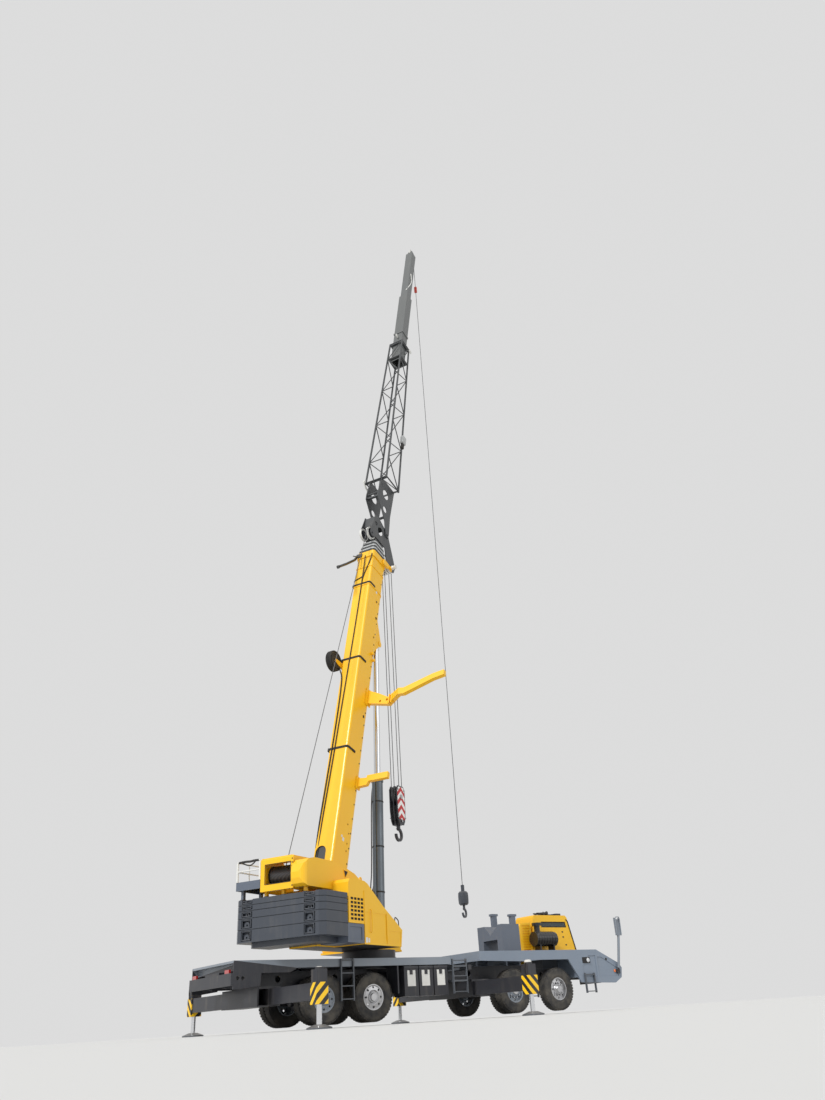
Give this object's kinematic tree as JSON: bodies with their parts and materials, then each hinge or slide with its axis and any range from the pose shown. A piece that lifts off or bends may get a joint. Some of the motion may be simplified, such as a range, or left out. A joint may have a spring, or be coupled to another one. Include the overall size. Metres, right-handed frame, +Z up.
{
  "type": "truck-mounted telescopic crane with lattice jib",
  "caption": "Four-axle truck-mounted telescopic crane on extended outriggers, boom raised with a lattice jib, hook block and weighted hook line.",
  "frame": {"origin": "middle of the footprint at ground level, under the carrier", "axes": "+X towards the carrier's nose, +Y to its left, +Z up"},
  "size_m": [12.8, 7.06, 34.2011],
  "materials": {
    "yellow_paint": "gloss",
    "grey_paint": "satin",
    "pale_grey_paint": "satin",
    "slate_paint": "satin",
    "dark_paint": "satin",
    "steel": "brushed",
    "tyre": "matt",
    "chrome": "polished",
    "rope_steel": "greased",
    "white_paint": "satin",
    "seat_plastic": "matt",
    "iron": "rough"
  },
  "bodies": {
    "carrier": {"chassis_frame": "grey_paint", "outrigger_boxes": "dark_paint", "rear_deck": "pale_grey_paint", "front_cowl": "pale_grey_paint", "access_steps": "grey_paint", "side_boxes": "dark_paint", "engine_block": "iron", "carrier_cab": "yellow_paint", "cab_interior": "seat_plastic", "air_cleaner": "dark_paint", "boom_rest": "grey_paint", "axle_beams": "dark_paint", "lamps_mirrors": "dark_paint"},
    "cab_door": {"cab_door": "yellow_paint"},
    "upperworks": {"turntable_frame": "yellow_paint", "counterweight": "slate_paint", "machinery_covers": "yellow_paint", "hydraulic_box": "dark_paint", "winch_housing": "yellow_paint", "platform_rails": "white_paint", "operator_cab": "yellow_paint", "operator_interior": "seat_plastic"},
    "winch_drum": {"winch_drum": "grey_paint"},
    "operator_door": {"operator_door": "yellow_paint"},
    "boom_base": {"boom_base": "yellow_paint", "boom_brackets": "yellow_paint"},
    "boom_section_1": {"boom_section_1": "pale_grey_paint"},
    "boom_section_2": {"boom_section_2": "grey_paint"},
    "boom_section_3": {"boom_section_3": "pale_grey_paint"},
    "boom_top": {"boom_section_4": "dark_paint", "boom_head": "dark_paint", "head_sheaves": "white_paint"},
    "lift_barrel": {"lift_barrel": "dark_paint"},
    "lift_rod": {"lift_rod": "chrome"},
    "hook": {"hook_block": "dark_paint", "hook_falls": "rope_steel"},
    "jib": {"jib_lattice": "dark_paint"},
    "jib_tube": {"jib_tube": "grey_paint"},
    "jib_sheave": {"jib_sheave": "white_paint"},
    "ball": {"ball_line": "dark_paint"},
    "wheel_1_left": {"wheel_1_left": "tyre"},
    "knuckle_1_left": {"knuckle_1_left": "dark_paint"},
    "wheel_1_right": {"wheel_1_right": "tyre"},
    "knuckle_1_right": {"knuckle_1_right": "dark_paint"},
    "wheel_2_left": {"wheel_2_left": "tyre"},
    "knuckle_2_left": {"knuckle_2_left": "dark_paint"},
    "wheel_2_right": {"wheel_2_right": "tyre"},
    "knuckle_2_right": {"knuckle_2_right": "dark_paint"},
    "wheel_3_left": {"wheel_3_left": "tyre"},
    "wheel_3_right": {"wheel_3_right": "tyre"},
    "wheel_4_left": {"wheel_4_left": "tyre"},
    "wheel_4_right": {"wheel_4_right": "tyre"},
    "outrigger_front_left": {"outrigger_front_left": "dark_paint"},
    "jack_front_left": {"jack_front_left": "steel"},
    "outrigger_front_right": {"outrigger_front_right": "dark_paint"},
    "jack_front_right": {"jack_front_right": "steel"},
    "outrigger_rear_left": {"outrigger_rear_left": "dark_paint"},
    "jack_rear_left": {"jack_rear_left": "steel"},
    "outrigger_rear_right": {"outrigger_rear_right": "dark_paint"},
    "jack_rear_right": {"jack_rear_right": "steel"}
  },
  "joints": [
    {"name": "slew", "type": "hinge", "parent": "carrier", "child": "upperworks", "pos_m": [-1.9, 0, 1.56], "axis": [0, 0, 1], "continuous": true},
    {"name": "luff", "type": "hinge", "parent": "upperworks", "child": "boom_base", "pos_m": [-3.66607, -0.8952, 3], "axis": [0.4521, -0.892, 0], "range_deg": [-78.19, 4.81]},
    {"name": "extend_1", "type": "slide", "parent": "boom_base", "child": "boom_section_1", "axis": [0.228, 0.1156, 0.9668], "range_m": [0, 8]},
    {"name": "extend_2", "type": "slide", "parent": "boom_section_1", "child": "boom_section_2", "axis": [0.228, 0.1156, 0.9668], "range_m": [0, 8]},
    {"name": "extend_3", "type": "slide", "parent": "boom_section_2", "child": "boom_section_3", "axis": [0.228, 0.1156, 0.9668], "range_m": [0, 8]},
    {"name": "extend_4", "type": "slide", "parent": "boom_section_3", "child": "boom_top", "axis": [0.228, 0.1156, 0.9668], "range_m": [0, 8]},
    {"name": "jib_offset", "type": "hinge", "parent": "boom_top", "child": "jib", "pos_m": [-0.42895, 0.74566, 15.43543], "axis": [0.4521, -0.892, 0], "range_deg": [-30, 0]},
    {"name": "jib_extend", "type": "slide", "parent": "jib", "child": "jib_tube", "axis": [0.2159, 0.1095, 0.9703], "range_m": [-7, 0]},
    {"name": "jib_sheave_turn", "type": "hinge", "parent": "jib_tube", "child": "jib_sheave", "pos_m": [3.42714, 2.70027, 34.00109], "axis": [0.4521, -0.892, 0], "range_deg": [0, 30]},
    {"name": "ball_swing", "type": "hinge", "parent": "jib_sheave", "child": "ball", "pos_m": [3.42714, 2.70027, 34.00109], "axis": [0.4521, -0.892, 0], "range_deg": [-4.81, 78.19]},
    {"name": "hook_swing", "type": "hinge", "parent": "boom_top", "child": "hook", "pos_m": [-0.15994, 0.88202, 14.31099], "axis": [0.4521, -0.892, 0], "range_deg": [-4.81, 78.19]},
    {"name": "ram_tilt", "type": "hinge", "parent": "upperworks", "child": "lift_barrel", "pos_m": [-1.36483, 0.27127, 2.2], "axis": [0.4521, -0.892, 0], "range_deg": [-92, 5.71]},
    {"name": "ram_stroke", "type": "slide", "parent": "lift_barrel", "child": "lift_rod", "axis": [0.037, 0.0188, 0.9991], "range_m": [-2.939, 0.183]},
    {"name": "winch_turn", "type": "hinge", "parent": "upperworks", "child": "winch_drum", "pos_m": [-5.12509, -1.51144, 3.38], "axis": [-0.4521, 0.892, 0], "continuous": true},
    {"name": "operator_door_slide", "type": "slide", "parent": "upperworks", "child": "operator_door", "axis": [-0.892, -0.4521, 0], "range_m": [0, 0.72]},
    {"name": "cab_door_swing", "type": "hinge", "parent": "carrier", "child": "cab_door", "pos_m": [5.656, 1.298, 1.87], "axis": [0, 0, -1], "range_deg": [0, 70]},
    {"name": "steer_1_left", "type": "hinge", "parent": "carrier", "child": "knuckle_1_left", "pos_m": [3.68, 0.83, 0.62], "axis": [0, 0, 1], "range_deg": [-35, 35]},
    {"name": "spin_1_left", "type": "hinge", "parent": "knuckle_1_left", "child": "wheel_1_left", "pos_m": [3.68, 1.135, 0.62], "axis": [0, 1, 0], "continuous": true},
    {"name": "steer_1_right", "type": "hinge", "parent": "carrier", "child": "knuckle_1_right", "pos_m": [3.68, -0.83, 0.62], "axis": [0, 0, 1], "range_deg": [-35, 35]},
    {"name": "spin_1_right", "type": "hinge", "parent": "knuckle_1_right", "child": "wheel_1_right", "pos_m": [3.68, -1.135, 0.62], "axis": [0, 1, 0], "continuous": true},
    {"name": "steer_2_left", "type": "hinge", "parent": "carrier", "child": "knuckle_2_left", "pos_m": [2.05, 0.83, 0.62], "axis": [0, 0, 1], "range_deg": [-21.7, 21.7]},
    {"name": "spin_2_left", "type": "hinge", "parent": "knuckle_2_left", "child": "wheel_2_left", "pos_m": [2.05, 1.135, 0.62], "axis": [0, 1, 0], "continuous": true},
    {"name": "steer_2_right", "type": "hinge", "parent": "carrier", "child": "knuckle_2_right", "pos_m": [2.05, -0.83, 0.62], "axis": [0, 0, 1], "range_deg": [-21.7, 21.7]},
    {"name": "spin_2_right", "type": "hinge", "parent": "knuckle_2_right", "child": "wheel_2_right", "pos_m": [2.05, -1.135, 0.62], "axis": [0, 1, 0], "continuous": true},
    {"name": "spin_3_left", "type": "hinge", "parent": "carrier", "child": "wheel_3_left", "pos_m": [-2.56, 1.135, 0.62], "axis": [0, 1, 0], "continuous": true},
    {"name": "spin_3_right", "type": "hinge", "parent": "carrier", "child": "wheel_3_right", "pos_m": [-2.56, -1.135, 0.62], "axis": [0, 1, 0], "continuous": true},
    {"name": "spin_4_left", "type": "hinge", "parent": "carrier", "child": "wheel_4_left", "pos_m": [-3.96, 1.135, 0.62], "axis": [0, 1, 0], "continuous": true},
    {"name": "spin_4_right", "type": "hinge", "parent": "carrier", "child": "wheel_4_right", "pos_m": [-3.96, -1.135, 0.62], "axis": [0, 1, 0], "continuous": true},
    {"name": "beam_front_left", "type": "slide", "parent": "carrier", "child": "outrigger_front_left", "axis": [0, 1, 0], "range_m": [-2.05, 0]},
    {"name": "lower_front_left", "type": "slide", "parent": "outrigger_front_left", "child": "jack_front_left", "axis": [0, 0, 1], "range_m": [0, 0.36]},
    {"name": "beam_front_right", "type": "slide", "parent": "carrier", "child": "outrigger_front_right", "axis": [0, -1, 0], "range_m": [-2.05, 0]},
    {"name": "lower_front_right", "type": "slide", "parent": "outrigger_front_right", "child": "jack_front_right", "axis": [0, 0, 1], "range_m": [0, 0.36]},
    {"name": "beam_rear_left", "type": "slide", "parent": "carrier", "child": "outrigger_rear_left", "axis": [0, 1, 0], "range_m": [-2.05, 0]},
    {"name": "lower_rear_left", "type": "slide", "parent": "outrigger_rear_left", "child": "jack_rear_left", "axis": [0, 0, 1], "range_m": [0, 0.36]},
    {"name": "beam_rear_right", "type": "slide", "parent": "carrier", "child": "outrigger_rear_right", "axis": [0, -1, 0], "range_m": [-2.05, 0]},
    {"name": "lower_rear_right", "type": "slide", "parent": "outrigger_rear_right", "child": "jack_rear_right", "axis": [0, 0, 1], "range_m": [0, 0.36]}
  ],
  "couplings": [
    {"joint": "jib_sheave_turn", "follows": "jib_offset", "ratio": -1},
    {"joint": "ball_swing", "follows": "luff", "ratio": -1},
    {"joint": "hook_swing", "follows": "luff", "ratio": -1},
    {"joint": "ram_tilt", "follows": "luff", "ratio": 1.1759},
    {"joint": "ram_stroke", "follows": "luff", "m_per_rad": 2.1525},
    {"joint": "steer_1_right", "follows": "steer_1_left", "ratio": 1},
    {"joint": "steer_2_left", "follows": "steer_1_left", "ratio": 0.62},
    {"joint": "steer_2_right", "follows": "steer_1_left", "ratio": 0.62}
  ]
}
